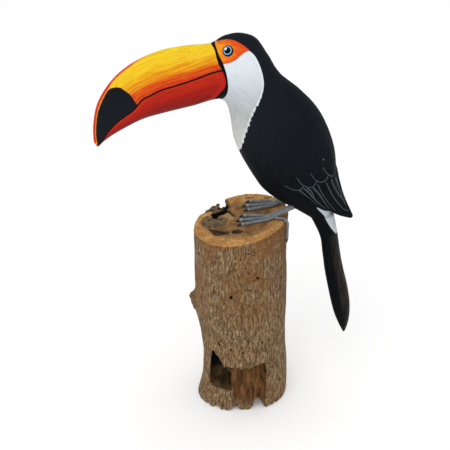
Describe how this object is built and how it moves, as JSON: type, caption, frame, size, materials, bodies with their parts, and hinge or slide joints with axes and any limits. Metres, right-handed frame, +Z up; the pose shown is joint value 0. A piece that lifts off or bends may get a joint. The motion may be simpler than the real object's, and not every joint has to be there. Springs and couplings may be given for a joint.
{
  "type": "carved wooden toucan on a log",
  "caption": "Life-size toco toucan carved in wood and painted by hand, standing on wire feet on the saw cut of an upright weathered log that is its base.",
  "frame": {"origin": "centre of the log's foot, on the floor under the log's axis", "axes": "+Z up; the bird faces -X, so its left side is towards -Y"},
  "size_m": [0.3391, 0.1226, 0.5045],
  "materials": {
    "body_paint": "matte charcoal-black hand paint over carved wood, white bib, rump and orange face brushed on",
    "bill_paint": "satin hand paint over carved wood, yellow at the crest through ochre and orange to red below, black tip",
    "bill_lower_paint": "satin hand paint over carved wood, red with darker brush streaks",
    "eye_paint": "gloss enamel over a carved dome: black outline, blue ring, black pupil, white glint",
    "foot_metal": "grey satin paint over soldered wire, ring-like swellings at the knuckles",
    "claw_metal": "black paint over the pointed wire ends",
    "log_wood": "bare weathered wood: grey-brown fibrous side, fresh tan and orange saw cut, dark rot, worm holes"
  },
  "bodies": {
    "root": {"log": "log_wood", "head": "body_paint", "neck": "body_paint", "trunk": "body_paint", "wing_left": "body_paint", "wing_right": "body_paint", "tail": "body_paint", "bill_upper": "bill_paint", "bill_lower": "bill_lower_paint", "eye_left": "eye_paint", "eye_right": "eye_paint", "leg_left": "foot_metal", "toe_left_inner": "foot_metal", "claw_left_inner": "claw_metal", "toe_left_middle": "foot_metal", "claw_left_middle": "claw_metal", "toe_left_outer": "foot_metal", "claw_left_outer": "claw_metal", "toe_left_hind": "foot_metal", "claw_left_hind": "claw_metal", "leg_right": "foot_metal", "toe_right_inner": "foot_metal", "claw_right_inner": "claw_metal", "toe_right_middle": "foot_metal", "claw_right_middle": "claw_metal", "toe_right_outer": "foot_metal", "claw_right_outer": "claw_metal", "toe_right_hind": "foot_metal", "claw_right_hind": "claw_metal"}
  },
  "joints": []
}
